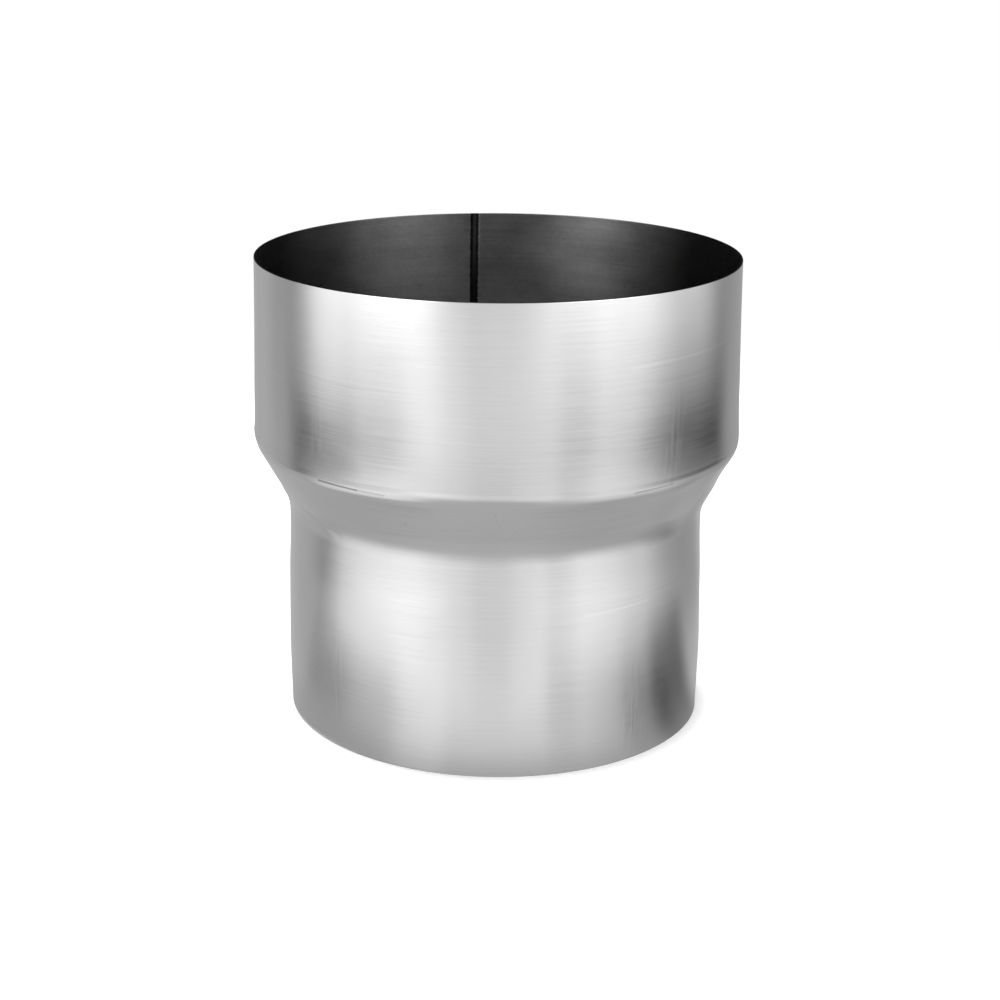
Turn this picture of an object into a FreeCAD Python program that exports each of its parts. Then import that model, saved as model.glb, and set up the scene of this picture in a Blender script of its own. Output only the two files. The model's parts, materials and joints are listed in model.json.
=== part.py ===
import FreeCAD, Part
import math
import os

# Flue pipe adapter: one rolled sheet tube with a butt weld down its length.
# The tube is expanded at one end, so a short taper joins the narrow collar
# below to the wide socket above. Both ends are cut square and left plain.
# Lengths are in millimetres and angles in degrees. +Z is up the axis, and the
# origin is the centre of the collar's rim, which the adapter stands on.

# Pipes that the two ends take, and the radial room that each pipe has
COLLAR_PIPE_DIAMETER = 130.0
SOCKET_PIPE_DIAMETER = 150.0
COLLAR_CLEARANCE = 0.3
SOCKET_CLEARANCE = 0.3

# Thickness of the sheet, the same in the collar, the taper and the socket
SHEET = 0.5

# Heights between the rims and the corners that the outer face would have if
# its bends were sharp
COLLAR_HEIGHT = 71.0
TAPER_HEIGHT = 18.0
SOCKET_HEIGHT = 58.0

# Radii of the two bends, measured on the outer face of the sheet
COLLAR_BEND_RADIUS = 9.0
SOCKET_BEND_RADIUS = 10.0

# Weld bead: where it stands round the axis from +X, how wide it is, and how
# far its crowns stand proud of the two faces of the sheet
SEAM_ANGLE = 95.7
BEAD_WIDTH = 2.9
BEAD_PROUD_INSIDE = 0.2
BEAD_PROUD_OUTSIDE = 0.25

# Radii and heights that follow from the sizes above
COLLAR_INNER_RADIUS = COLLAR_PIPE_DIAMETER / 2 + COLLAR_CLEARANCE
SOCKET_INNER_RADIUS = SOCKET_PIPE_DIAMETER / 2 + SOCKET_CLEARANCE
COLLAR_OUTER_RADIUS = COLLAR_INNER_RADIUS + SHEET
SOCKET_OUTER_RADIUS = SOCKET_INNER_RADIUS + SHEET
TAPER_TOP = COLLAR_HEIGHT + TAPER_HEIGHT
TOTAL_HEIGHT = TAPER_TOP + SOCKET_HEIGHT

AXIS_START = FreeCAD.Vector(0, 0, 0)
AXIS = FreeCAD.Vector(0, 0, 1)


def rounded_path(corners, radii):
    """Wire of straight runs through the corners, joined by tangent arcs."""
    edges = []
    run_start = corners[0]
    for before, corner, after, radius in zip(corners, corners[1:], corners[2:], radii):
        arriving = (corner - before).normalize()
        leaving = (after - corner).normalize()
        half_turn = arriving.getAngle(leaving) / 2
        setback = radius * math.tan(half_turn)
        arc_start = corner - arriving * setback
        arc_end = corner + leaving * setback
        inward = (leaving - arriving).normalize()
        arc_middle = corner + inward * (radius / math.cos(half_turn) - radius)
        edges.append(Part.LineSegment(run_start, arc_start).toShape())
        edges.append(Part.Arc(arc_start, arc_middle, arc_end).toShape())
        run_start = arc_end
    edges.append(Part.LineSegment(run_start, corners[-1]).toShape())
    return Part.Wire(edges)


def wall_path(depth):
    """The wall's line in the XZ plane, at a depth below the sheet's outer face.

    The collar's bend is hollow on the outer face and the socket's is crowned,
    so going into the sheet one radius grows and the other shrinks.
    """
    half_taper_angle = math.atan2(SOCKET_OUTER_RADIUS - COLLAR_OUTER_RADIUS, TAPER_HEIGHT) / 2
    corner_rise = depth * math.tan(half_taper_angle)
    collar_radius = COLLAR_OUTER_RADIUS - depth
    socket_radius = SOCKET_OUTER_RADIUS - depth
    corners = [
        FreeCAD.Vector(collar_radius, 0, 0),
        FreeCAD.Vector(collar_radius, 0, COLLAR_HEIGHT + corner_rise),
        FreeCAD.Vector(socket_radius, 0, TAPER_TOP + corner_rise),
        FreeCAD.Vector(socket_radius, 0, TOTAL_HEIGHT),
    ]
    radii = [COLLAR_BEND_RADIUS + depth, SOCKET_BEND_RADIUS - depth]
    return rounded_path(corners, radii)


def sheet_tube():
    """The wall of even thickness, turned once round the axis."""
    outer_face = wall_path(0)
    inner_face = wall_path(SHEET)
    lower_rim = Part.makeLine(outer_face.OrderedVertexes[0].Point, inner_face.OrderedVertexes[0].Point)
    upper_rim = Part.makeLine(outer_face.OrderedVertexes[-1].Point, inner_face.OrderedVertexes[-1].Point)
    outline = Part.sortEdges(outer_face.Edges + [upper_rim] + inner_face.Edges + [lower_rim])[0]
    section = Part.Face(Part.Wire(outline))
    return section.revolve(AXIS_START, AXIS, 360)


def weld_bead():
    """The bead, crowned on both faces, drawn along the middle of the wall."""
    middle_radius = COLLAR_OUTER_RADIUS - SHEET / 2
    left_toe = FreeCAD.Vector(middle_radius, -BEAD_WIDTH / 2, 0)
    right_toe = FreeCAD.Vector(middle_radius, BEAD_WIDTH / 2, 0)
    outer_crown = FreeCAD.Vector(COLLAR_OUTER_RADIUS + BEAD_PROUD_OUTSIDE, 0, 0)
    inner_crown = FreeCAD.Vector(COLLAR_INNER_RADIUS - BEAD_PROUD_INSIDE, 0, 0)
    lens = Part.Wire([
        Part.Arc(left_toe, outer_crown, right_toe).toShape(),
        Part.Arc(right_toe, inner_crown, left_toe).toShape(),
    ])
    bead = wall_path(SHEET / 2).makePipeShell([lens], True, False)
    bead.rotate(AXIS_START, AXIS, SEAM_ANGLE)
    return bead


def adapter_shell():
    """The whole adapter: the tube and its weld are one piece of metal."""
    return sheet_tube().fuse(weld_bead()).removeSplitter()


os.makedirs("parts", exist_ok=True)
adapter_shell().exportStep("parts/adapter_shell.step")
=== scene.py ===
import json
import math

import bmesh
import bpy
from mathutils import Matrix, Vector, noise


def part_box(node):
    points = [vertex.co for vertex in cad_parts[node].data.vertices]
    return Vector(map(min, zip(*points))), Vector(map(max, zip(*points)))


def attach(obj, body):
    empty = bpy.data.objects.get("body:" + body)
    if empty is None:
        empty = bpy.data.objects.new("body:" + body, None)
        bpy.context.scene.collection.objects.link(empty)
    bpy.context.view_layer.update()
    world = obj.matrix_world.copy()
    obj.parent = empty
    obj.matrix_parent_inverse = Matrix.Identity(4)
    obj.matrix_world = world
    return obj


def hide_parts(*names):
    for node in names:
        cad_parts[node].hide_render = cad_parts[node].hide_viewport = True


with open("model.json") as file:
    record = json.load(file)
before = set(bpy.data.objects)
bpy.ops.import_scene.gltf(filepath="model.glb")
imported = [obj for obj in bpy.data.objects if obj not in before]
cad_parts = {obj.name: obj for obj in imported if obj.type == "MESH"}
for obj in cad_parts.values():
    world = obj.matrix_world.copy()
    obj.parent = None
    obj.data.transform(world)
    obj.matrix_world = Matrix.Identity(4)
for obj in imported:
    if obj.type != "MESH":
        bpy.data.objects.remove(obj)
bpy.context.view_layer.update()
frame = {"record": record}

bl_info = {
    "name": "Flue Pipe Adapter",
    "version": (1, 0, 0),
    "blender": (4, 5, 0),
    "location": "View3D > Sidebar > Adapter",
    "description": "Builds a satin stainless flue pipe adapter and the small studio it stands in",
    "category": "Add Mesh",
}

# Names that the frame knows this part by
NODE = "adapter_shell"
BODY = "root"
PIECE = "satin_shell"

# The map that lays the whole surface out flat: round the axis across, and up
# the outer face, over the rim and down the inner face along its height
SHEET_MAP = "OFBake"

MM = 0.001
MOUNT_SIZES = {mount["name"]: mount["dims"] for mount in frame["record"]["mounts"]}


def mount_radius(name):
    """Radius of a round mount, in metres."""
    return MOUNT_SIZES[name]["r_mm"] * MM


def mount_length(name):
    """Length of a round mount's straight wall, in metres."""
    return MOUNT_SIZES[name]["length_mm"] * MM


# Sizes of the fitting, read from the frame
COLLAR_RADIUS = mount_radius("collar_outside")
SOCKET_RADIUS = mount_radius("socket_outside")
COLLAR_STRAIGHT = mount_length("collar_outside")
SOCKET_STRAIGHT = mount_length("socket_outside")
SHEET = COLLAR_RADIUS - mount_radius("collar_bore")
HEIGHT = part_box(NODE)[1].z

# The height of the taper and of its lower corner, which no mount gives
TAPER_RISE = 18 * MM
COLLAR_CORNER = 71 * MM

# The part of a turn that the weld and the sheet close to it take, with finer columns
WELD_SECTOR = math.radians(6)
WELD_COLUMNS = 20

# Rows along each rounded edge of a rim, and along each bend
RIM_ROWS = 3
BEND_ROWS = 12

# Points closer than this are one point
MERGE_DISTANCE = 0.001 * MM


class AdapterShellSettings(bpy.types.PropertyGroup):
    """Sizes and colours of the sheet shell and its weld"""

    collar_bend: bpy.props.FloatProperty(
        name="Collar bend", description="Radius of the lower bend on the outer face",
        default=9 * MM, min=2 * MM, max=15 * MM, subtype="DISTANCE", unit="LENGTH", precision=4)
    collar_sweep: bpy.props.FloatProperty(
        name="Collar sweep", description="Wider radius that the lower bend has on the sprung sheet",
        default=18 * MM, min=2 * MM, max=25 * MM, subtype="DISTANCE", unit="LENGTH", precision=4)
    socket_bend: bpy.props.FloatProperty(
        name="Socket bend", description="Radius of the upper bend on the outer face",
        default=10 * MM, min=2 * MM, max=15 * MM, subtype="DISTANCE", unit="LENGTH", precision=4)
    socket_edge: bpy.props.FloatProperty(
        name="Socket edge", description="Tighter radius that the expanding tool left in the upper bend",
        default=6 * MM, min=2 * MM, max=15 * MM, subtype="DISTANCE", unit="LENGTH", precision=4)
    columns: bpy.props.IntProperty(
        name="Columns", description="Steps round the axis, apart from those of the weld",
        default=360, min=48, max=480)
    row_height: bpy.props.FloatProperty(
        name="Row height", description="Largest height of a row of faces on the straight walls",
        default=2.2 * MM, min=1 * MM, max=20 * MM, subtype="DISTANCE", unit="LENGTH", precision=4)
    rim_rounding: bpy.props.FloatProperty(
        name="Rim rounding", description="How far the deburred edges of both rims are rounded",
        default=0.1 * MM, min=0.01 * MM, max=0.2 * MM, subtype="DISTANCE", unit="LENGTH", precision=5)
    seam_angle: bpy.props.FloatProperty(
        name="Seam angle", description="Where the weld stands, turned from +X about the axis",
        default=math.radians(96.3), subtype="ANGLE", unit="ROTATION")
    bead_width: bpy.props.FloatProperty(
        name="Bead width", description="Width of the weld bead",
        default=2.9 * MM, min=1 * MM, max=6 * MM, subtype="DISTANCE", unit="LENGTH", precision=4)
    bead_proud_inside: bpy.props.FloatProperty(
        name="Bead proud inside", description="How far the bead stands in from the inner face",
        default=0.2 * MM, min=0, max=1 * MM, subtype="DISTANCE", unit="LENGTH", precision=5)
    bead_proud_outside: bpy.props.FloatProperty(
        name="Bead proud outside", description="How far the bead stands out from the outer face",
        default=0.25 * MM, min=0, max=1 * MM, subtype="DISTANCE", unit="LENGTH", precision=5)
    steel_color: bpy.props.FloatVectorProperty(
        name="Steel", description="Colour of the bare sheet",
        default=(0.6, 0.6, 0.6), min=0, max=1, size=3, subtype="COLOR")
    # The inner face is a darker copy of the same steel: partly a duller sheet, partly painted shade of the
    # inside
    inner_shade: bpy.props.FloatProperty(
        name="Inner shade", description="Brightness of the inner face, as a share of the outer one's",
        default=0.42, min=0.1, max=1, subtype="FACTOR")
    weld_color: bpy.props.FloatVectorProperty(
        name="Weld", description="Colour of the scaled weld metal",
        default=(0.045, 0.045, 0.047), min=0, max=1, size=3, subtype="COLOR")
    roughness: bpy.props.FloatProperty(
        name="Roughness", description="Roughness of the satin finish",
        default=0.2, min=0.05, max=0.8)
    inner_dullness: bpy.props.FloatProperty(
        name="Inner dullness", description="How much rougher the inner face is than the brushed outer one",
        default=0.14, min=0, max=0.6)
    brushing: bpy.props.FloatProperty(
        name="Brushing", description="How much further light spreads up and down than round the axis",
        default=0.6, min=0, max=0.95)


class StudioSettings(bpy.types.PropertyGroup):
    """The floor, the surround, the lamp and the camera"""

    # The camera's values are rounded from a fit to the photo's outline
    camera_distance: bpy.props.FloatProperty(
        name="Camera distance", description="From the camera to the point that it looks at",
        default=670.3 * MM, subtype="DISTANCE", unit="LENGTH")
    camera_elevation: bpy.props.FloatProperty(
        name="Camera elevation", description="How steeply the camera looks down",
        default=math.radians(17.12), subtype="ANGLE", unit="ROTATION")
    camera_roll: bpy.props.FloatProperty(
        name="Camera roll", description="How far the camera is turned about its line of sight",
        default=math.radians(0.626), subtype="ANGLE", unit="ROTATION")
    camera_target: bpy.props.FloatProperty(
        name="Target height", description="Height on the axis that the camera looks at",
        default=66.9 * MM, subtype="DISTANCE", unit="LENGTH")
    camera_lens: bpy.props.FloatProperty(
        name="Lens", description="Focal length in millimetres, for a picture 36 mm wide",
        default=75.1, min=20, max=300)
    camera_shift: bpy.props.FloatProperty(
        name="Shift", description="Sideways shift of the picture, as a share of its width",
        default=0.0045, min=-0.05, max=0.05)
    floor_radius: bpy.props.FloatProperty(
        name="Floor radius", description="Radius of the round floor",
        default=0.6, min=0.2, max=3, subtype="DISTANCE", unit="LENGTH")
    floor_color: bpy.props.FloatVectorProperty(
        name="Floor", description="Colour of the floor",
        default=(0.82, 0.82, 0.82), min=0, max=1, size=3, subtype="COLOR")
    lamp_size: bpy.props.FloatProperty(
        name="Lamp size", description="Width of the round lamp",
        default=0.6, min=0.05, max=3, subtype="DISTANCE", unit="LENGTH")
    lamp_power: bpy.props.FloatProperty(
        name="Lamp power", description="Power of the lamp",
        default=8, min=0, max=100, unit="POWER")


# Rows are this fine on the outer face, this far to each side of the creases of the upper bend
CREASE_HEIGHT = 89 * MM
CREASE_REACH = 3.6 * MM
FINE_ROW = 0.28 * MM

# How the sheet sprang when it was formed: rise, height and half width of the swell
# and the waist, bellies of the walls, in millimetres, all round and towards the
# front and the back, and crests, rise and turn of the waves in the rims. These and
# the lean are rounded from a fit to the photo's outline, some changed later
SWELL = (0.45 * MM, 100 * MM, 22 * MM)
WAIST = (-0.35 * MM, 60.5 * MM, 9.5 * MM)
COLLAR_BELLY = 0.34
COLLAR_FACE_BELLY = 0.6
SOCKET_FACE_BELLY = 0.8
COLLAR_WAVES = ((2, 0.7 * MM, 0.88), (3, 0.5 * MM, -1.34))
SOCKET_WAVES = ((2, 0.6 * MM, -2.2),)
LEAN = math.radians(0.145)

# Slow waves that rolling leaves: rise, length up the wall, and radius of the circle
# that their noise is read on. Ripples are finer round the axis by the last number
WAVE_RISE = 0.06 * MM
WAVE_LENGTH = 38 * MM
WAVE_CIRCLE = 2.6
RIPPLE_RISE = 0.012 * MM
RIPPLE_LENGTH = 13 * MM
RIPPLE_FINENESS = 3.1

# How far the weld pulls the sheet in, and how far to each side that reaches
WELD_PULL = 0.3 * MM
WELD_PULL_REACH = 9 * MM

# Marks that forming and handling left in the sheet, each along a line on the wall:
# where it starts and ends, as an angle from the front to the right in degrees and
# a height in millimetres, half its width and how far it stands out, in millimetres
MARKS = {
    "left corner of the socket": (-125, 92, -58, 92, 1.8, 0.35),
    "right corner of the socket": (58, 91, 125, 91, 6.5, 0.45),
    "left heel of the taper": (-125, 74.5, -58, 74.5, 1.6, 0.25),
    "right heel of the taper": (62, 75, 125, 75, 5.0, 1.0),
    "left swell of the collar": (-130, 20, -50, 20, 12, 0.2),
    "right swell of the collar": (50, 22, 130, 22, 10, 0.3),
    "left sag of the corner": (-50, 87, -12, 87, 1.8, 0.42),
    "right sag of the corner": (6, 87, 54, 87, 1.8, 0.3),
    "left ease of the lower bend": (-52, 66, -10, 66, 3.5, 0.12),
    "right ease of the lower bend": (16, 66, 54, 66, 3.5, 0.08),
    "left fold": (-62, 75.5, -44, 69.6, 0.9, -0.1),
    "left ridge": (-60, 72.5, -46, 68.2, 1.0, 0.07),
    "right fold": (46, 75, 54, 73.5, 0.9, -0.03),
}


def slope_tangent(sizes):
    """Tangent of half the taper's angle.

    The taper meets both straight walls through tangent bends, so its angle
    follows from the room between the walls and the radii of the two bends.
    """
    step = SOCKET_RADIUS - COLLAR_RADIUS
    room = HEIGHT - COLLAR_STRAIGHT - SOCKET_STRAIGHT
    excess = step - 2 * (sizes.collar_bend + sizes.socket_bend)
    return (math.sqrt(room * room + step * excess) - room) / excess


def round_corner(outline, corner, setback, segments):
    """Rounds one corner of an outline, starting the curve at a distance from it."""
    bmesh.ops.bevel(
        outline, geom=[corner], offset=setback, offset_type="OFFSET",
        segments=segments, profile=0.5, affect="VERTICES", material=-1)


def cut_at_height(outline, height):
    """Puts a vertex of the outline where it crosses a height."""
    bmesh.ops.bisect_plane(
        outline, geom=outline.verts[:] + outline.edges[:], dist=MERGE_DISTANCE,
        plane_co=(0, 0, height), plane_no=(0, 0, 1))


def cut_rows(outline, sizes):
    """Divides the outline into rows, fine ones by the rims and where creases cross the outer face."""
    rim_gap = 2.5 * sizes.rim_rounding
    for height in (rim_gap, HEIGHT - rim_gap, CREASE_HEIGHT - CREASE_REACH, CREASE_HEIGHT + CREASE_REACH):
        cut_at_height(outline, height)
    for edge in outline.edges[:]:
        middle = (edge.verts[0].co + edge.verts[1].co) / 2
        wide = middle.x > SOCKET_RADIUS - 3 * MM
        on_inner_face = abs(middle.x - SOCKET_RADIUS + SHEET) <= 0.1 * MM
        creased = wide and not on_inner_face and abs(middle.z - CREASE_HEIGHT) < CREASE_REACH
        cuts = math.ceil(edge.calc_length() / (FINE_ROW if creased else sizes.row_height)) - 1
        if cuts > 0:
            bmesh.ops.subdivide_edges(outline, edges=[edge], cuts=cuts)


def wall_outline(outline, sizes):
    """Draws the closed outline of the wall's section in the XZ plane."""
    tangent = slope_tangent(sizes)
    collar_corner = COLLAR_STRAIGHT + sizes.collar_bend * tangent
    socket_corner = HEIGHT - SOCKET_STRAIGHT - sizes.socket_bend * tangent
    places = []
    bends = []
    for depth in (0, SHEET):
        rise = depth * tangent
        places.append([
            (COLLAR_RADIUS - depth, 0),
            (COLLAR_RADIUS - depth, collar_corner + rise),
            (SOCKET_RADIUS - depth, socket_corner + rise),
            (SOCKET_RADIUS - depth, HEIGHT),
        ])
        bends.append([
            (sizes.rim_rounding, RIM_ROWS),
            ((sizes.collar_sweep + depth) * tangent, BEND_ROWS),
            ((sizes.socket_edge - depth) * tangent, BEND_ROWS),
            (sizes.rim_rounding, RIM_ROWS),
        ])
    corners = [outline.verts.new((radius, 0, height)) for radius, height in places[0] + places[1][::-1]]
    for here, there in zip(corners, corners[1:] + corners[:1]):
        outline.edges.new((here, there))
    for corner, (setback, rows) in zip(corners, bends[0] + bends[1][::-1]):
        round_corner(outline, corner, setback, rows)
    cut_rows(outline, sizes)


def walk_outline(outline):
    """The outline's vertices in order, from the foot of the outer face upwards."""
    foot = min(outline.verts, key=lambda vert: (round(vert.co.z / MM, 4), -vert.co.x))
    order = [foot, max((edge.other_vert(foot) for edge in foot.link_edges), key=lambda vert: vert.co.x)]
    while True:
        before, here = order[-2:]
        following = next(edge.other_vert(here) for edge in here.link_edges if edge.other_vert(here) != before)
        if following == foot:
            return order
        order.append(following)


def measure_outline(outline, layer):
    """Writes each vertex's distance along the section, and returns the whole way round it."""
    order = walk_outline(outline)
    run = 0.0
    for here, following in zip(order, order[1:] + order[:1]):
        here[layer] = run
        run += (following.co - here.co).length
    return run


def spin_about_axis(mesh, geometry, angle, steps):
    """Spins edges about the vertical axis and returns where they end."""
    spun = bmesh.ops.spin(
        mesh, geom=geometry, cent=(0, 0, 0), axis=(0, 0, 1), dvec=(0, 0, 0),
        angle=angle, steps=steps, use_merge=False, use_duplicate=False)
    return spun["geom_last"]


def unwrapped(value, centre, period):
    """The value, moved by whole periods so that it lies nearest to centre."""
    return value + period * round((centre - value) / period)


def lay_out_sheet(mesh, layer, perimeter, start):
    """Maps the surface flat: the turn round the axis across, the way round the section up."""
    sheet_map = mesh.loops.layers.uv.new(SHEET_MAP)
    turn = 2 * math.pi

    def turned(place):
        return (math.atan2(place.y, place.x) - start) % turn

    for face in mesh.faces:
        middle = turned(face.calc_center_median())
        runs = [loop.vert[layer] for loop in face.loops]
        middle_run = max(runs)
        if max(runs) - min(runs) > perimeter / 2:
            middle_run = perimeter
        for loop in face.loops:
            across = unwrapped(turned(loop.vert.co), middle, turn) / turn
            up = unwrapped(loop.vert[layer], middle_run, perimeter) / perimeter
            loop[sheet_map].uv = (across, up)


def bump_round(distance, width):
    """A smooth hump, 1 at its middle and a tenth of that at 1.5 widths from it."""
    return math.exp(-(distance / width) ** 2)


def smooth_share(value, low, high):
    """Smooth rise from 0 to 1 as a value goes from low to high."""
    share = min(max((value - low) / (high - low), 0), 1)
    return share * share * (3 - 2 * share)


def from_front(azimuth):
    """Angle from the front to the right, in degrees, of an angle from +X about the axis."""
    return (math.degrees(azimuth) + 270) % 360 - 180


def mark_relief(front, height, mark):
    """How far one mark moves the wall, fading to nothing at its ends and sides."""
    start, start_height, end, end_height, half_width, rise = mark
    if not start < front < end:
        return 0
    share = (front - start) / (end - start)
    off = height / MM - start_height - (end_height - start_height) * share
    if abs(off) > 3 * half_width:
        return 0
    ends = 1 - (2 * share - 1) ** 4
    return rise * MM * ends * bump_round(off, half_width)


def waves_round(azimuth, waves):
    """How far waves with a number of crests round the axis stand out at an angle."""
    return sum(rise * math.cos(crests * azimuth + turn) for crests, rise, turn in waves)


def belly_share(share):
    """Bow of a wall from end to end, 1 at its middle."""
    return 4 * share * (1 - share)


def spring_of_sheet(azimuth, height):
    """How far the sprung sheet stands out from the true wall, outwards as positive.

    The expanding tool leaves a swell above the taper and a waist below it, both
    walls belly a little and both rims are slightly out of round.
    """
    share = min(max(height / (COLLAR_STRAIGHT + 2 * MM), 0), 1)
    collar_rim = 1 - share
    socket_rim = max(height - (HEIGHT - SOCKET_STRAIGHT), 0) / SOCKET_STRAIGHT
    facing = smooth_share(abs(math.sin(azimuth)), 0.05, 0.55)
    belly = (COLLAR_BELLY + COLLAR_FACE_BELLY * facing) * MM * belly_share(share)
    belly += SOCKET_FACE_BELLY * facing * MM * belly_share(socket_rim)
    rings = sum(rise * bump_round(height - middle, reach) for rise, middle, reach in (SWELL, WAIST))
    waves = collar_rim * waves_round(azimuth, COLLAR_WAVES) + socket_rim * waves_round(azimuth, SOCKET_WAVES)
    return rings + belly + waves


def unevenness(azimuth, height):
    """Slow waves that rolling leaves in thin sheet."""
    around = Vector((math.cos(azimuth), math.sin(azimuth), 0)) * WAVE_CIRCLE
    wave = noise.noise(around + Vector((0, 0, height / WAVE_LENGTH)))
    ripple = noise.noise(around * RIPPLE_FINENESS + Vector((7, 3, height / RIPPLE_LENGTH)))
    return WAVE_RISE * wave + RIPPLE_RISE * ripple


def weld_relief(distance, outward, sizes):
    """Height of the bead's crown, and how far the weld pulls in the sheet beside it."""
    share = 2 * distance / sizes.bead_width
    crown = max(1 - share * share, 0)
    proud = sizes.bead_proud_outside if outward else -sizes.bead_proud_inside
    return proud * crown - WELD_PULL * math.exp(-abs(distance) / WELD_PULL_REACH)


def shape_wall(mesh, layer, perimeter, sizes):
    """Moves the true wall's points to where the sprung sheet and its weld have them."""
    for vert in mesh.verts:
        radius = math.hypot(vert.co.x, vert.co.y)
        azimuth = math.atan2(vert.co.y, vert.co.x)
        height = vert.co.z
        from_seam = unwrapped(azimuth - sizes.seam_angle, 0, 2 * math.pi) * radius
        outward = vert[layer] < perimeter / 2
        radius += spring_of_sheet(azimuth, height) + unevenness(azimuth, height)
        front = from_front(azimuth)
        radius += sum(mark_relief(front, height, mark) for mark in MARKS.values())
        radius += weld_relief(from_seam, outward, sizes)
        above = max(height - COLLAR_STRAIGHT, 0)
        vert.co.x = radius * math.cos(azimuth) + above * math.tan(LEAN)
        vert.co.y = radius * math.sin(azimuth)


def add_shell_mesh(sizes):
    """The one piece: the section spun once round, finely over the weld."""
    mesh = bmesh.new()
    run_layer = mesh.verts.layers.float.new("run")
    wall_outline(mesh, sizes)
    perimeter = measure_outline(mesh, run_layer)

    start = sizes.seam_angle + WELD_SECTOR / 2
    bmesh.ops.rotate(mesh, verts=mesh.verts, cent=(0, 0, 0), matrix=Matrix.Rotation(start, 3, "Z"))
    outline = mesh.verts[:] + mesh.edges[:]
    toe = spin_about_axis(mesh, outline, 2 * math.pi - WELD_SECTOR, sizes.columns)
    spin_about_axis(mesh, toe, WELD_SECTOR, WELD_COLUMNS)
    bmesh.ops.remove_doubles(mesh, verts=mesh.verts, dist=MERGE_DISTANCE)
    bmesh.ops.recalc_face_normals(mesh, faces=mesh.faces)
    lay_out_sheet(mesh, run_layer, perimeter, start)
    shape_wall(mesh, run_layer, perimeter, sizes)

    for face in mesh.faces:
        face.smooth = True
    data = bpy.data.meshes.new(PIECE)
    mesh.to_mesh(data)
    mesh.free()
    piece = bpy.data.objects.new(PIECE, data)
    bpy.context.scene.collection.objects.link(piece)
    return piece, perimeter


def add_node(tree, kind, values=None, **settings):
    """Adds a shader node, with values for its inputs and settings for itself."""
    node = tree.nodes.new(kind)
    for name, setting in settings.items():
        setattr(node, name, setting)
    for name, value in (values or {}).items():
        if isinstance(value, bpy.types.NodeSocket):
            tree.links.new(value, node.inputs[name])
        else:
            node.inputs[name].default_value = value
    return node


def math_node(tree, operation, *values, clamp=False):
    """Result of a Math node on sockets or numbers."""
    node = add_node(tree, "ShaderNodeMath", dict(enumerate(values)), operation=operation, use_clamp=clamp)
    return node.outputs["Value"]


def vector_node(tree, operation, *values, **named):
    """Outputs of a Vector Math node on sockets or vectors."""
    values = {**dict(enumerate(values)), **named}
    return add_node(tree, "ShaderNodeVectorMath", values, operation=operation).outputs


def smooth_step(tree, value, low, high, to_low=0.0, to_high=1.0):
    """Smooth change from one number to another as a value goes from low to high."""
    node = add_node(tree, "ShaderNodeMapRange", {
        "Value": value, "From Min": low, "From Max": high, "To Min": to_low, "To Max": to_high,
    }, interpolation_type="SMOOTHSTEP", clamp=True)
    return node.outputs["Result"]


def new_group(name, inputs, outputs):
    """Starts a shader node group with named sockets."""
    group = bpy.data.node_groups.new(name, "ShaderNodeTree")
    for socket, kind, default in inputs:
        made = group.interface.new_socket(socket, in_out="INPUT", socket_type=kind)
        if default is not None:
            made.default_value = default
    for socket, kind in outputs:
        group.interface.new_socket(socket, in_out="OUTPUT", socket_type=kind)
    entry = group.nodes.new("NodeGroupInput")
    leaving = group.nodes.new("NodeGroupOutput")
    return group, entry.outputs, leaving.inputs


def grain_group():
    """Streaks drawn out along the way that the sheet was brushed."""
    group, given, result = new_group("Brushed grain", [
        ("Place", "NodeSocketVector", None),
        ("Length", "NodeSocketFloat", 0.02),
        ("Pitch", "NodeSocketFloat", 0.0004),
        ("Detail", "NodeSocketFloat", 2.0),
    ], [("Streaks", "NodeSocketFloat")])
    parts = add_node(group, "ShaderNodeSeparateXYZ", {"Vector": given["Place"]})
    across = math_node(group, "DIVIDE", parts.outputs["X"], given["Length"])
    up = math_node(group, "DIVIDE", parts.outputs["Y"], given["Pitch"])
    place = add_node(group, "ShaderNodeCombineXYZ", {"X": across, "Y": up})
    streaks = add_node(group, "ShaderNodeTexNoise", {
        "Vector": place.outputs["Vector"], "Scale": 1.0, "Detail": given["Detail"], "Roughness": 0.6,
    }, noise_dimensions="2D")
    group.links.new(streaks.outputs["Fac"], result["Streaks"])
    return group


def use_group(tree, group, values, label=""):
    """Places a node group in a tree and returns its outputs."""
    return add_node(tree, "ShaderNodeGroup", values, node_tree=group, label=label).outputs


def patch_group():
    """How far a place lies inside a soft-edged oval patch."""
    group, given, result = new_group("Worn patch", [
        ("Place", "NodeSocketVector", None),
        ("Middle", "NodeSocketVector", None),
        ("Reach", "NodeSocketVector", None),
    ], [("Share", "NodeSocketFloat")])
    off = vector_node(group, "SUBTRACT", given["Place"], given["Middle"])["Vector"]
    off = vector_node(group, "DIVIDE", off, given["Reach"])["Vector"]
    off = vector_node(group, "LENGTH", off)["Value"]
    group.links.new(smooth_step(group, off, 0.2, 1.0, 1.0, 0.0), result["Share"])
    return group


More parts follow.
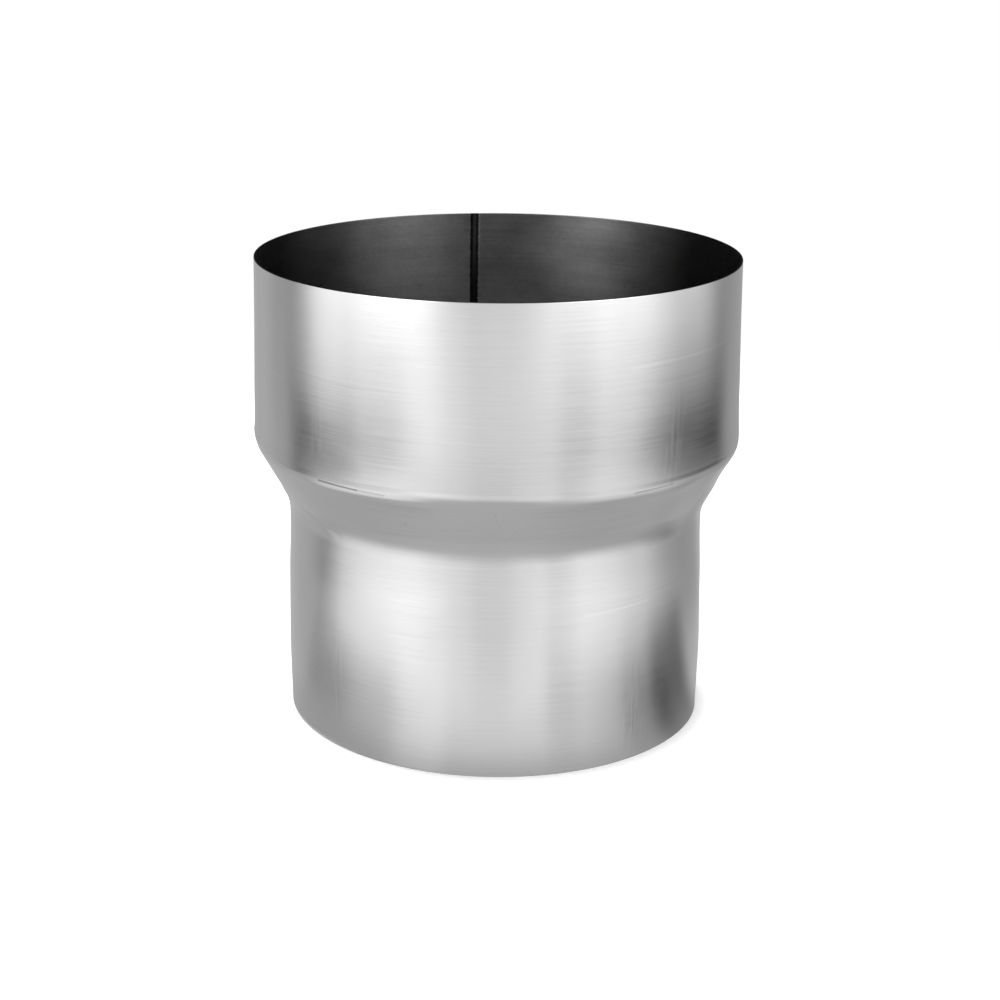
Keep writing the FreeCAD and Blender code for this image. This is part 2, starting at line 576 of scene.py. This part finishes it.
def scratch_group():
    """A fine line between two places."""
    group, given, result = new_group("Scratch", [
        ("Place", "NodeSocketVector", None),
        ("Start", "NodeSocketVector", None),
        ("End", "NodeSocketVector", None),
        ("Width", "NodeSocketFloat", 0.0003),
    ], [("Share", "NodeSocketFloat")])
    here = vector_node(group, "SUBTRACT", given["Place"], given["Start"])["Vector"]
    line = vector_node(group, "SUBTRACT", given["End"], given["Start"])["Vector"]
    reached = vector_node(group, "DOT_PRODUCT", here, line)["Value"]
    whole = vector_node(group, "DOT_PRODUCT", line, line)["Value"]
    share = math_node(group, "DIVIDE", reached, whole, clamp=True)
    along = vector_node(group, "SCALE", line, Scale=share)["Vector"]
    off = vector_node(group, "DISTANCE", here, along)["Value"]
    edge = math_node(group, "DIVIDE", off, given["Width"])
    group.links.new(smooth_step(group, edge, 0.2, 1.0, 1.0, 0.0), result["Share"])
    return group


# Streaks of the finish: length and distance apart in millimetres, and detail
STREAKS = {
    "fine grain": (26, 0.32, 2),
    "long streaks": (45, 0.8, 2),
    "film": (24, 15, 2),
    "mottle": (1.8, 1.1, 3),
    "tool marks": (1.1, 16, 3),
}

# How far streaks spread the roughness and the tone, and the inner face's tone besides
ROUGHNESS_SPREAD = {"fine grain": 0.05, "long streaks": 0.03, "film": 0.05}
TONE_SPREAD = {"long streaks": 0.05, "fine grain": 0.08}
INNER_TONE_SPREAD = {"mottle": 0.3, "long streaks": 0.2, "film": 0.5}

# What these do to the tone, and what they add to the roughness
# The smudges' tone also paints shade low on the socket by its corners
SMUDGE_AND_SHADE_TONE = -0.17
SCUFF_TONE = 0.5
HEAT_TONE = -0.2
# Painted shade on the inner face's sides
PAINTED_INNER_SHADE_TONE = -0.7
SMUDGE_ROUGHNESS = 0.02
WELD_ROUGHNESS = 0.12

# To the side of the weld: where the inner face's painted shade sets in, darkening its sides, and where its
# heat fades
PAINTED_INNER_SHADE_REACH = (56 * MM, 71 * MM)
HEAT_REACH = (1 * MM, 6 * MM)

# How far the bead's edge wanders, between which heights its core gets lighter, and
# how bright its metal is
BEAD_WANDER = 0.5 * MM
CORE_RISE = (118 * MM, 142 * MM)
CORE_TONE = 0.8
INNER_BEAD_TONE = 0.2
OUTER_BEAD_TONE = 4.3

# Depth of the brushing, depths of the scuffs and the weld's ripples as shares of
# it, and the ripples' distance apart and bow
BRUSH_DEPTH = 0.003 * MM
SCUFF_DEPTH = 0.8
RIPPLE_DEPTH = 6.0
RIPPLE_PITCH = 1.1 * MM
RIPPLE_BOW = 0.5

# Smudges on the outer face, with painted shade low on the socket by its corners, and
# scuffs: angle from the front and height of the middle, half the width and half the
# height in millimetres, and strength
SMUDGES_AND_PAINTED_SHADE = {
    "left of the socket": (-34, 99, 22, 13, 0.7),
    "painted shade left by the corner": (-39, 96, 18, 9, 1.9),
    "painted shade right by the corner": (45, 95, 16, 8, 1.4),
    "left of the collar": (-40, 26, 22, 16, 0.15),
    "right of the socket": (36, 101, 16, 15, 0.3),
    "right of the collar": (40, 20, 18, 18, 0.3),
}
TOOL_MARKS = {
    "left of the socket": (-43, 104, 5, 22, 0.6),
    "right of the socket": (43, 104, 7, 19, 1.0),
    "left of the collar": (-47, 24, 6, 22, 0.6),
    "right of the collar": (40, 17, 7, 21, 1.0),
}

# Scratches on the outer face, and the painted shade along the creases of the upper
# bend: angle from the front and height of each end, width in millimetres, and how
# much lighter or darker the line is than the sheet
SCRATCHES_AND_CREASE_SHADE = {
    "long streak on the socket": (30, 126.5, 62, 127.5, 1.6, 0.05),
    "second streak on the socket": (38, 121, 58, 122, 1.4, -0.03),
    "streak on the collar": (24, 50, 44, 50.6, 1.5, 0.03),
    "streak on the left": (-52, 121, -30, 119.5, 1.5, -0.03),
    "painted shade in the left crease": (-43, 89.3, -32, 89.0, 0.8, -0.55),
    "painted shade in the left crease, fading": (-32, 89.0, -25, 88.8, 0.9, -0.18),
    "painted shade in the right crease": (32, 89.0, 43, 89.4, 0.7, -0.25),
    "bright nick": (-18.8, 142.6, -17.6, 141.5, 0.5, 0.12),
    "bright tick": (-18.3, 140, -18, 137.8, 0.45, 0.1),
    "taper scratch": (-0.5, 86, 1.5, 79, 0.35, -0.08),
    "taper scratch across": (2, 76.5, 6.5, 82, 0.3, 0.07),
    "taper scratch beside": (3.5, 76, 5, 79.5, 0.3, -0.07),
    "speck": (-21.8, 79.7, -21.5, 79.1, 0.6, -0.2),
}


def sheet_place(front, height, sizes):
    """Where a point of the outer face lies on the flat sheet, from its angle and height."""
    azimuth = math.radians(front) - math.pi / 2
    turn = (azimuth - sizes.seam_angle - WELD_SECTOR / 2) % (2 * math.pi)
    slant = math.hypot(1, (SOCKET_RADIUS - COLLAR_RADIUS) / TAPER_RISE) - 1
    run = height * MM + slant * min(max(height * MM - COLLAR_CORNER, 0), TAPER_RISE)
    return Vector((turn * SOCKET_RADIUS, run, 0))


def sheet_streaks(tree, place):
    """Every kind of streak in the finish, from 0 to 1."""
    grain = grain_group()
    streaks = {}
    for name, (length, pitch, detail) in STREAKS.items():
        streaks[name] = use_group(tree, grain, {
            "Place": place, "Length": length * MM, "Pitch": pitch * MM, "Detail": detail}, name)["Streaks"]
    return streaks


def spread_by(tree, base, streaks, spreads):
    """A value that streaks raise and lower, each by up to half its spread."""
    for name, spread in spreads.items():
        change = math_node(tree, "MULTIPLY_ADD", streaks[name], spread, -spread / 2)
        base = math_node(tree, "ADD", base, change)
    return base


def patches(tree, patch, place, spots, sizes):
    """How strongly a place lies in any of some patches."""
    share = 0.0
    for name, (front, height, half_width, half_height, strength) in spots.items():
        spot = use_group(tree, patch, {
            "Place": place, "Middle": sheet_place(front, height, sizes),
            "Reach": (half_width * MM, half_height * MM, 1)}, name)["Share"]
        share = math_node(tree, "MAXIMUM", share, math_node(tree, "MULTIPLY", spot, strength))
    return share


def scratched_and_crease_shaded(tree, place, tone, sizes):
    """The tone with every scratch, and the painted shade of the creases, drawn on it."""
    scratch = scratch_group()
    for name, (front, height, to_front, to_height, width, change) in SCRATCHES_AND_CREASE_SHADE.items():
        line = use_group(tree, scratch, {
            "Place": place, "Start": sheet_place(front, height, sizes),
            "End": sheet_place(to_front, to_height, sizes), "Width": width * MM / 2}, name)["Share"]
        tone = math_node(tree, "MULTIPLY_ADD", line, change, tone)
    return tone


def weld_zones(tree, inside, mottle, sizes):
    """Where a place lies across the bead, and its share in each zone round the weld."""
    turned = add_node(tree, "ShaderNodeMapping", {
        "Vector": add_node(tree, "ShaderNodeTexCoord").outputs["Object"],
        "Rotation": (0, 0, -sizes.seam_angle),
    }).outputs["Vector"]
    seam = add_node(tree, "ShaderNodeSeparateXYZ", {"Vector": turned}).outputs
    wander = math_node(tree, "MULTIPLY", math_node(tree, "SUBTRACT", mottle, 0.5), BEAD_WANDER)
    aside = math_node(tree, "ADD", math_node(tree, "ABSOLUTE", seam["Y"]), wander)
    # The bead shows at its full width inside and at half of it outside
    shown = math_node(tree, "MULTIPLY_ADD", inside, 0.5, 0.5)
    half = math_node(tree, "MULTIPLY", shown, sizes.bead_width / 2)
    across = math_node(tree, "DIVIDE", aside, half)
    near = math_node(tree, "GREATER_THAN", seam["X"], 0.0)
    outside = math_node(tree, "SUBTRACT", 1.0, inside)
    heated = math_node(tree, "MULTIPLY", near, smooth_step(tree, aside, *HEAT_REACH, 1, 0))
    return {
        "across": across,
        "outside": outside,
        "bead": math_node(tree, "MULTIPLY", near, smooth_step(tree, across, 0.9, 1.05, 1, 0)),
        "core": math_node(tree, "MULTIPLY", smooth_step(tree, across, 0.25, 0.5, 1, 0),
                          smooth_step(tree, seam["Z"], *CORE_RISE)),
        "heated": math_node(tree, "MULTIPLY", heated, outside),
        # Painted shade that darkens the inner face's sides
        "painted inner shade": math_node(tree, "MULTIPLY", inside, smooth_step(tree, aside, *PAINTED_INNER_SHADE_REACH)),
    }


def surface_height(tree, place, fine, scuffed, zones):
    """Height of the surface, as a share of the brushing's depth."""
    rise = add_node(tree, "ShaderNodeSeparateXYZ", {"Vector": place}).outputs["Y"]
    square = math_node(tree, "MULTIPLY", zones["across"], zones["across"])
    bow = math_node(tree, "MULTIPLY", square, RIPPLE_BOW)
    wave = math_node(tree, "SINE", math_node(tree, "MULTIPLY_ADD", rise, 2 * math.pi / RIPPLE_PITCH, bow))
    ripples = math_node(tree, "MULTIPLY", zones["bead"], math_node(tree, "MULTIPLY", wave, RIPPLE_DEPTH))
    height = math_node(tree, "ADD", fine, math_node(tree, "MULTIPLY", scuffed, SCUFF_DEPTH))
    return math_node(tree, "ADD", height, ripples)


def steel_material(sizes, perimeter):
    """Satin stainless sheet with its weld."""
    material = bpy.data.materials.new("satin_stainless_sheet")
    material.use_nodes = True
    tree = material.node_tree
    shader = tree.nodes["Principled BSDF"]
    shader.inputs["Metallic"].default_value = 1.0
    shader.inputs["Anisotropic"].default_value = sizes.brushing
    shader.inputs["Anisotropic Rotation"].default_value = 0.25
    tangent = add_node(tree, "ShaderNodeTangent", None, direction_type="UV_MAP", uv_map=SHEET_MAP)
    tree.links.new(tangent.outputs["Tangent"], shader.inputs["Tangent"])

    flat = add_node(tree, "ShaderNodeUVMap", None, uv_map=SHEET_MAP).outputs["UV"]
    circumference = 2 * math.pi * SOCKET_RADIUS
    place = add_node(tree, "ShaderNodeMapping", {
        "Vector": flat, "Scale": (circumference, perimeter, 1)}).outputs["Vector"]
    # The upper half of the map is the inner face
    run = add_node(tree, "ShaderNodeSeparateXYZ", {"Vector": flat}).outputs["Y"]
    inside = smooth_step(tree, run, 0.4995, 0.5005)

    streaks = sheet_streaks(tree, place)
    zones = weld_zones(tree, inside, streaks["mottle"], sizes)
    patch = patch_group()
    # Smudges, with painted shade low on the socket by its corners
    smudged_and_shaded = math_node(tree, "MULTIPLY", patches(tree, patch, place, SMUDGES_AND_PAINTED_SHADE, sizes),
                        smooth_step(tree, streaks["mottle"], 0.2, 0.75, 0.93, 1.0))
    scuffed = math_node(tree, "MULTIPLY", patches(tree, patch, place, TOOL_MARKS, sizes),
                        math_node(tree, "SUBTRACT", streaks["tool marks"], 0.5))

    rough = spread_by(tree, sizes.roughness, streaks, ROUGHNESS_SPREAD)
    rough = math_node(tree, "MULTIPLY_ADD", smudged_and_shaded, SMUDGE_ROUGHNESS, rough)
    rough = math_node(tree, "MULTIPLY_ADD", inside, sizes.inner_dullness, rough)
    rough = math_node(tree, "MULTIPLY_ADD", zones["bead"], WELD_ROUGHNESS, rough)
    tree.links.new(rough, shader.inputs["Roughness"])

    tone = spread_by(tree, 1.0, streaks, TONE_SPREAD)
    inner_tone = spread_by(tree, 0.0, streaks, INNER_TONE_SPREAD)
    tone = math_node(tree, "MULTIPLY_ADD", inside, inner_tone, tone)
    tone = math_node(tree, "MULTIPLY_ADD", smudged_and_shaded, SMUDGE_AND_SHADE_TONE, tone)
    tone = math_node(tree, "MULTIPLY_ADD", scuffed, SCUFF_TONE, tone)
    # Scratches, and painted shade along the creases of the upper bend
    tone = scratched_and_crease_shaded(tree, place, tone, sizes)
    # Darkens the whole inner face, partly as painted shade, and paints more shade on its sides
    for share, change in ((inside, sizes.inner_shade - 1), (zones["painted inner shade"], PAINTED_INNER_SHADE_TONE)):
        tone = math_node(tree, "MULTIPLY", tone, math_node(tree, "MULTIPLY_ADD", share, change, 1.0))
    tone = math_node(tree, "MULTIPLY_ADD", zones["heated"], HEAT_TONE, tone)

    gain = OUTER_BEAD_TONE - INNER_BEAD_TONE
    bead_tone = math_node(tree, "MULTIPLY_ADD", zones["outside"], gain, INNER_BEAD_TONE)
    bead_tone = math_node(tree, "MULTIPLY_ADD", zones["core"], CORE_TONE, bead_tone)
    color = add_node(tree, "ShaderNodeMix", {
        "Factor": zones["bead"],
        "A": vector_node(tree, "MULTIPLY", (*sizes.steel_color,), tone)["Vector"],
        "B": vector_node(tree, "MULTIPLY", (*sizes.weld_color,), bead_tone)["Vector"],
    }, data_type="RGBA")
    tree.links.new(color.outputs[2], shader.inputs["Base Color"])

    height = surface_height(tree, place, streaks["fine grain"], scuffed, zones)
    bump = add_node(tree, "ShaderNodeBump", {"Height": height, "Strength": 1.0, "Distance": BRUSH_DEPTH})
    tree.links.new(bump.outputs["Normal"], shader.inputs["Normal"])
    return material


class ADAPTER_OT_make_shell(bpy.types.Operator):
    """Model the adapter: one sheet shell with its weld, in satin stainless"""

    bl_idname = "adapter.make_shell"
    bl_label = "Make Shell"

    def execute(self, context):
        sizes = context.scene.adapter_shell
        piece, perimeter = add_shell_mesh(sizes)
        piece.data.materials.append(steel_material(sizes, perimeter))
        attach(piece, BODY)
        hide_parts(NODE)
        return {"FINISHED"}


def light_group():
    """A soft-edged rectangle of light, or of shade, added to what is there already."""
    group, given, result = new_group("Softbox or card", [
        ("Light", "NodeSocketFloat", 0.0),
        ("Angle", "NodeSocketFloat", 0.0),
        ("Level", "NodeSocketFloat", 0.0),
        ("Middle Angle", "NodeSocketFloat", 0.0),
        ("Middle Level", "NodeSocketFloat", 0.0),
        ("Half Width", "NodeSocketFloat", 1.0),
        ("Half Height", "NodeSocketFloat", 1.0),
        ("Brightness", "NodeSocketFloat", 1.0),
    ], [("Light", "NodeSocketFloat")])
    aside = math_node(group, "SUBTRACT", given["Angle"], given["Middle Angle"])
    aside = math_node(group, "WRAP", aside, math.pi, -math.pi)
    aside = math_node(group, "DIVIDE", aside, given["Half Width"])
    above = math_node(group, "SUBTRACT", given["Level"], given["Middle Level"])
    above = math_node(group, "DIVIDE", above, given["Half Height"])
    aside = math_node(group, "MULTIPLY", aside, aside)
    above = math_node(group, "MULTIPLY", above, above)
    off = math_node(group, "MULTIPLY_ADD", aside, aside, math_node(group, "MULTIPLY", above, above))
    shape = math_node(group, "EXPONENT", math_node(group, "MULTIPLY", off, -1.0))
    light = math_node(group, "MULTIPLY_ADD", shape, given["Brightness"], given["Light"])
    group.links.new(light, result["Light"])
    return group


def add_lights(tree, group, light, angle, level, lights):
    """Adds softboxes and cards one after the other."""
    for name, (middle, height, half_width, half_height, brightness) in lights.items():
        light = use_group(tree, group, {
            "Light": light, "Angle": angle, "Level": level,
            "Middle Angle": math.radians(middle), "Middle Level": height,
            "Half Width": math.radians(half_width), "Half Height": half_height,
            "Brightness": brightness}, name)["Light"]
    return light


def azimuth_from_front(tree, vector):
    """Angle of a direction or place round the axis, from the front to the right."""
    parts = add_node(tree, "ShaderNodeSeparateXYZ", {"Vector": vector}).outputs
    return math_node(tree, "ARCTAN2", parts["X"], math_node(tree, "MULTIPLY", parts["Y"], -1.0)), parts["Z"]


# Softboxes and cards that the metal mirrors straight from the studio: angle from
# the front and elevation of the middle, half the width and half the height, all
# in degrees, and brightness. A card takes light away. These lights and those on
# the table were set against the photo, in many rounds, after a fit had
# shown roughly where the main ones stand
STUDIO_LIGHTS = {
    "front wash": (7, -14, 66, 30, 0.52),
    "left softbox": (-67, 0, 34, 13, 1.3),
    "left bright strip": (-84, -6, 10, 14, 0.12),
    "left middle strip": (-80, -14, 9, 6, 0.1),
    "left dim strip": (-51, -8, 11, 18, -0.17),
    "left strip": (-24, -8, 12, 18, 0.2),
    "centre strip": (8, -3, 18, 12, 0.12),
    "right softbox": (50, 1, 32, 12, 0.72),
    "right dim strip": (76, -22, 8, 16, -0.16),
    "right fill": (92, 0, 25, 11, 0.75),
    "left window": (-34, -24, 11, 14, 0.2),
    "left card": (-88, -28, 20, 13, -0.65),
    "left dark strip": (-104, -10, 9, 22, -0.13),
    "left edge strip": (-138, -15, 11, 25, 0.06),
    "right card": (106, -27, 26, 15, -0.7),
    "right gap": (38, -17, 9, 23, -0.22),
    "far right card": (155, -18, 30, 22, -0.08),
    "high left softbox": (-46, 12, 20, 10, 4.5),
    "high right softbox": (52, 12, 24, 10, 3.7),
    "overhead": (0, 30, 60, 16, 1.5),
}

# Sheen and shade of the same softboxes on the table, which the collar mirrors,
# painted as light that the floor gives off to mirrored rays: angle from the front
# and half the width in degrees, distance from the axis and half the depth as
# powers of e, counted from the collar's radius, and brightness
TABLE_SHEEN = {
    "front sheen": (4, 0.9, 64, 0.95, 0.45),
    "left sheen": (-66, 1.3, 34, 0.6, 0.66),
    "right sheen": (64, 1.3, 36, 0.5, 0.42),
    "left window": (-40, 0.4, 14, 0.5, 0.2),
    "left strip": (-22, 1.1, 11, 0.6, 0.14),
    "right strip": (18, 1.1, 10, 0.6, 0.16),
    "right gap": (36, 0.9, 8, 0.8, -0.16),
    "left shade": (-94, 0.6, 15, 0.42, -0.15),
    "right shade": (99, 0.55, 15, 0.6, -0.38),
    "right near shade": (82, 0.3, 14, 0.3, -0.11),
    "left far shade": (-94, 1.45, 18, 0.22, -0.35),
    "left edge shade": (-98, 1.2, 8, 0.4, -0.15),
    "left near window": (-76, 0.65, 14, 0.35, 0.07),
    "right dim strip": (76, 0.8, 7, 0.6, -0.1),
    "right far shade": (104, 1.5, 15, 0.2, -0.17),
    "right edge shade": (128, 1.2, 14, 0.5, -0.12),
}

# Painted light on the table close in front of the collar, which the taper mirrors too
TABLE_GLOW = {
    "front glow": (-10, 0.55, 60, 0.4, 0.1),
}


# The floor's own light, lower close to the collar for a painted contact shadow and full in the open, and how
# far it changes
FLOOR_LIFT = (0.45, 0.75)
PAINTED_SHADOW_REACH = 6 * MM

# The floor as the metal mirrors it: brightness, share of it left at the collar's
# foot by a painted contact shadow, least brightness, and the distances between
# which it gives way to the studio
MIRRORED_FLOOR = 0.55
MIRRORED_CONTACT_SHADOW = 0.88
MIRRORED_LEAST = 0.02
MIRRORED_FLOOR_END = (0.29, 0.34)

# The bare studio as the metal mirrors it: brightness below and above the horizon,
# degrees that the change takes to each side, elevations between which it fades
# again, the share left above them, and least brightness
LOW_WALL = 0.5
HIGH_WALL = 0.02
HORIZON_BLUR = 8
CEILING = (15, 45)
CEILING_SHARE = 0.05
STUDIO_LEAST = 0.005

# Brightness of the studio where it lights dull surfaces
DIFFUSE_LIGHT = 0.5

LAMP_PLACE = Vector((-0.32, 0.3, 0.9))


def add_floor(studio, softbox):
    """A round pale floor that fades into the white surround at its edge."""
    mesh = bmesh.new()
    bmesh.ops.create_circle(mesh, cap_ends=True, radius=studio.floor_radius, segments=128)
    data = bpy.data.meshes.new("floor")
    mesh.to_mesh(data)
    mesh.free()
    floor = bpy.data.objects.new("floor", data)
    bpy.context.scene.collection.objects.link(floor)
    material = bpy.data.materials.new("pale_floor")
    material.use_nodes = True
    tree = material.node_tree
    tree.nodes.clear()
    path = add_node(tree, "ShaderNodeLightPath").outputs
    seen = math_node(tree, "ADD", path["Is Camera Ray"], path["Is Transmission Ray"], clamp=True)
    mirrored = path["Is Glossy Ray"]
    place = add_node(tree, "ShaderNodeTexCoord").outputs["Object"]
    radius = vector_node(tree, "LENGTH", place)["Value"]
    # Seen in the round collar, the camera's rays fan out from half a radius in front of the axis
    fan = vector_node(tree, "ADD", place, (0, COLLAR_RADIUS / 2, 0))["Vector"]
    azimuth, _ = azimuth_from_front(tree, fan)
    distance = math_node(tree, "LOGARITHM", math_node(tree, "DIVIDE", radius, COLLAR_RADIUS), math.e)
    outside = math_node(tree, "GREATER_THAN", radius, COLLAR_RADIUS)
    grazing = add_node(tree, "ShaderNodeLayerWeight", {"Blend": 0.5}).outputs["Facing"]
    # The table's sheen and shades, painted as light that the floor gives off to mirrored rays
    sheen = add_lights(tree, softbox, 0.0, azimuth, distance, TABLE_SHEEN)
    slant = smooth_step(tree, grazing, 0.25, 0.6)
    glow_near = add_lights(tree, softbox, MIRRORED_FLOOR, azimuth, distance, TABLE_GLOW)
    reflected = math_node(tree, "MULTIPLY_ADD", sheen, slant, glow_near)
    # A painted contact shadow darkens the mirrored floor at the collar's foot
    painted_contact_shadow = smooth_step(tree, distance, 0.0, 0.3, MIRRORED_CONTACT_SHADOW, 1.0)
    reflected = math_node(tree, "MAXIMUM", math_node(tree, "MULTIPLY", reflected, painted_contact_shadow), MIRRORED_LEAST)
    glow = math_node(tree, "MULTIPLY", math_node(tree, "MULTIPLY", mirrored, outside), reflected)
    paint = add_node(tree, "ShaderNodeBsdfDiffuse", {"Color": (*studio.floor_color, 1)})
    # The floor's own light is lower by the collar, a painted contact shadow
    floor_lift_and_painted_shadow = smooth_step(tree, radius, COLLAR_RADIUS, COLLAR_RADIUS + PAINTED_SHADOW_REACH, *FLOOR_LIFT)
    lift = add_node(tree, "ShaderNodeEmission", {
        "Color": (1, 1, 1, 1), "Strength": math_node(tree, "MULTIPLY", seen, floor_lift_and_painted_shadow)})
    lit = add_node(tree, "ShaderNodeAddShader", {0: paint.outputs["BSDF"], 1: lift.outputs["Emission"]})
    table = add_node(tree, "ShaderNodeEmission", {"Color": (1, 1, 1, 1), "Strength": glow})
    shown = add_node(tree, "ShaderNodeMixShader", {
        "Fac": math_node(tree, "MULTIPLY", mirrored, outside),
        1: lit.outputs["Shader"], 2: table.outputs["Emission"]})
    edge = smooth_step(tree, radius, studio.floor_radius * 0.6, studio.floor_radius)
    beyond = smooth_step(tree, radius, *MIRRORED_FLOOR_END)
    fade = math_node(tree, "MAXIMUM", math_node(tree, "MULTIPLY", seen, edge),
                     math_node(tree, "MULTIPLY", mirrored, beyond))
    clear = add_node(tree, "ShaderNodeBsdfTransparent")
    surface = add_node(tree, "ShaderNodeMixShader", {
        "Fac": fade, 1: shown.outputs["Shader"], 2: clear.outputs["BSDF"]})
    output = add_node(tree, "ShaderNodeOutputMaterial")
    tree.links.new(surface.outputs["Shader"], output.inputs["Surface"])
    data.materials.append(material)


def build_surround(softbox):
    """The studio round the object: white to the camera, softboxes and cards to the metal."""
    world = bpy.data.worlds.new("studio_surround")
    bpy.context.scene.world = world
    world.use_nodes = True
    tree = world.node_tree
    tree.nodes.clear()
    direction = add_node(tree, "ShaderNodeTexCoord").outputs["Generated"]
    azimuth, height = azimuth_from_front(tree, direction)
    elevation = math_node(tree, "DEGREES", math_node(tree, "ARCSINE", height))
    walls = smooth_step(tree, elevation, -HORIZON_BLUR, HORIZON_BLUR, LOW_WALL, HIGH_WALL)
    ceiling = smooth_step(tree, elevation, *CEILING, 1.0, CEILING_SHARE)
    level = math_node(tree, "MULTIPLY", walls, ceiling)
    level = add_lights(tree, softbox, level, azimuth, elevation, STUDIO_LIGHTS)
    level = math_node(tree, "MAXIMUM", level, STUDIO_LEAST)

    path = add_node(tree, "ShaderNodeLightPath").outputs
    seen = math_node(tree, "ADD", path["Is Camera Ray"], path["Is Transmission Ray"], clamp=True)
    lit = math_node(tree, "ADD", seen, path["Is Glossy Ray"], clamp=True)
    plain = add_node(tree, "ShaderNodeMix", {
        "Factor": lit, "A": DIFFUSE_LIGHT, "B": 1.0}, data_type="FLOAT").outputs[0]
    mirrored = add_node(tree, "ShaderNodeMix", {
        "Factor": path["Is Glossy Ray"], "A": 1.0, "B": level}, data_type="FLOAT").outputs[0]
    background = add_node(tree, "ShaderNodeBackground", {
        "Color": (1, 1, 1, 1), "Strength": math_node(tree, "MULTIPLY", plain, mirrored)})
    output = add_node(tree, "ShaderNodeOutputWorld")
    tree.links.new(background.outputs["Background"], output.inputs["Surface"])


def add_lamp(studio):
    """One large soft lamp, high on the left and behind, for the shadow on the right."""
    lamp = bpy.data.lights.new("key_lamp", "AREA")
    lamp.shape = "DISK"
    lamp.size = studio.lamp_size
    lamp.energy = studio.lamp_power
    key = bpy.data.objects.new("key_lamp", lamp)
    bpy.context.scene.collection.objects.link(key)
    key.location = LAMP_PLACE
    key.rotation_euler = (-LAMP_PLACE).to_track_quat("-Z", "Y").to_euler()
    key.visible_camera = False
    key.visible_glossy = False


def add_camera(studio):
    """The photograph's viewpoint."""
    data = bpy.data.cameras.new("camera")
    data.lens = studio.camera_lens
    data.sensor_width = 36
    data.shift_x = studio.camera_shift
    camera = bpy.data.objects.new("camera", data)
    bpy.context.scene.collection.objects.link(camera)
    back = studio.camera_distance * math.cos(studio.camera_elevation)
    up = studio.camera_distance * math.sin(studio.camera_elevation)
    turn = Matrix.Rotation(math.pi / 2 - studio.camera_elevation, 4, "X")
    roll = Matrix.Rotation(studio.camera_roll, 4, "Z")
    camera.matrix_world = Matrix.Translation((0, -back, studio.camera_target + up)) @ turn @ roll
    bpy.context.scene.camera = camera


class ADAPTER_OT_make_studio(bpy.types.Operator):
    """Set up the floor, the surround, the lamp and the camera"""

    bl_idname = "adapter.make_studio"
    bl_label = "Make Studio"

    def execute(self, context):
        studio = context.scene.adapter_studio
        softbox = light_group()
        add_floor(studio, softbox)
        build_surround(softbox)
        add_lamp(studio)
        add_camera(studio)
        context.scene.view_settings.view_transform = "Standard"
        return {"FINISHED"}


class ADAPTER_PT_panel(bpy.types.Panel):
    """Steps and settings of the adapter"""

    bl_idname = "ADAPTER_PT_panel"
    bl_label = "Flue Pipe Adapter"
    bl_space_type = "VIEW_3D"
    bl_region_type = "UI"
    bl_category = "Adapter"

    def draw(self, context):
        for step, settings in (
            (ADAPTER_OT_make_shell, context.scene.adapter_shell),
            (ADAPTER_OT_make_studio, context.scene.adapter_studio),
        ):
            box = self.layout.box()
            box.operator(step.bl_idname)
            for name in settings.bl_rna.properties.keys():
                if name not in {"rna_type", "name"}:
                    box.prop(settings, name)


CLASSES = (
    AdapterShellSettings,
    StudioSettings,
    ADAPTER_OT_make_shell,
    ADAPTER_OT_make_studio,
    ADAPTER_PT_panel,
)


def register():
    for item in CLASSES:
        bpy.utils.register_class(item)
    bpy.types.Scene.adapter_shell = bpy.props.PointerProperty(type=AdapterShellSettings)
    bpy.types.Scene.adapter_studio = bpy.props.PointerProperty(type=StudioSettings)


def unregister():
    del bpy.types.Scene.adapter_studio
    del bpy.types.Scene.adapter_shell
    for item in reversed(CLASSES):
        bpy.utils.unregister_class(item)


def main():
    register()
    bpy.ops.adapter.make_shell()
    bpy.ops.adapter.make_studio()


if __name__ == "__main__":
    main()
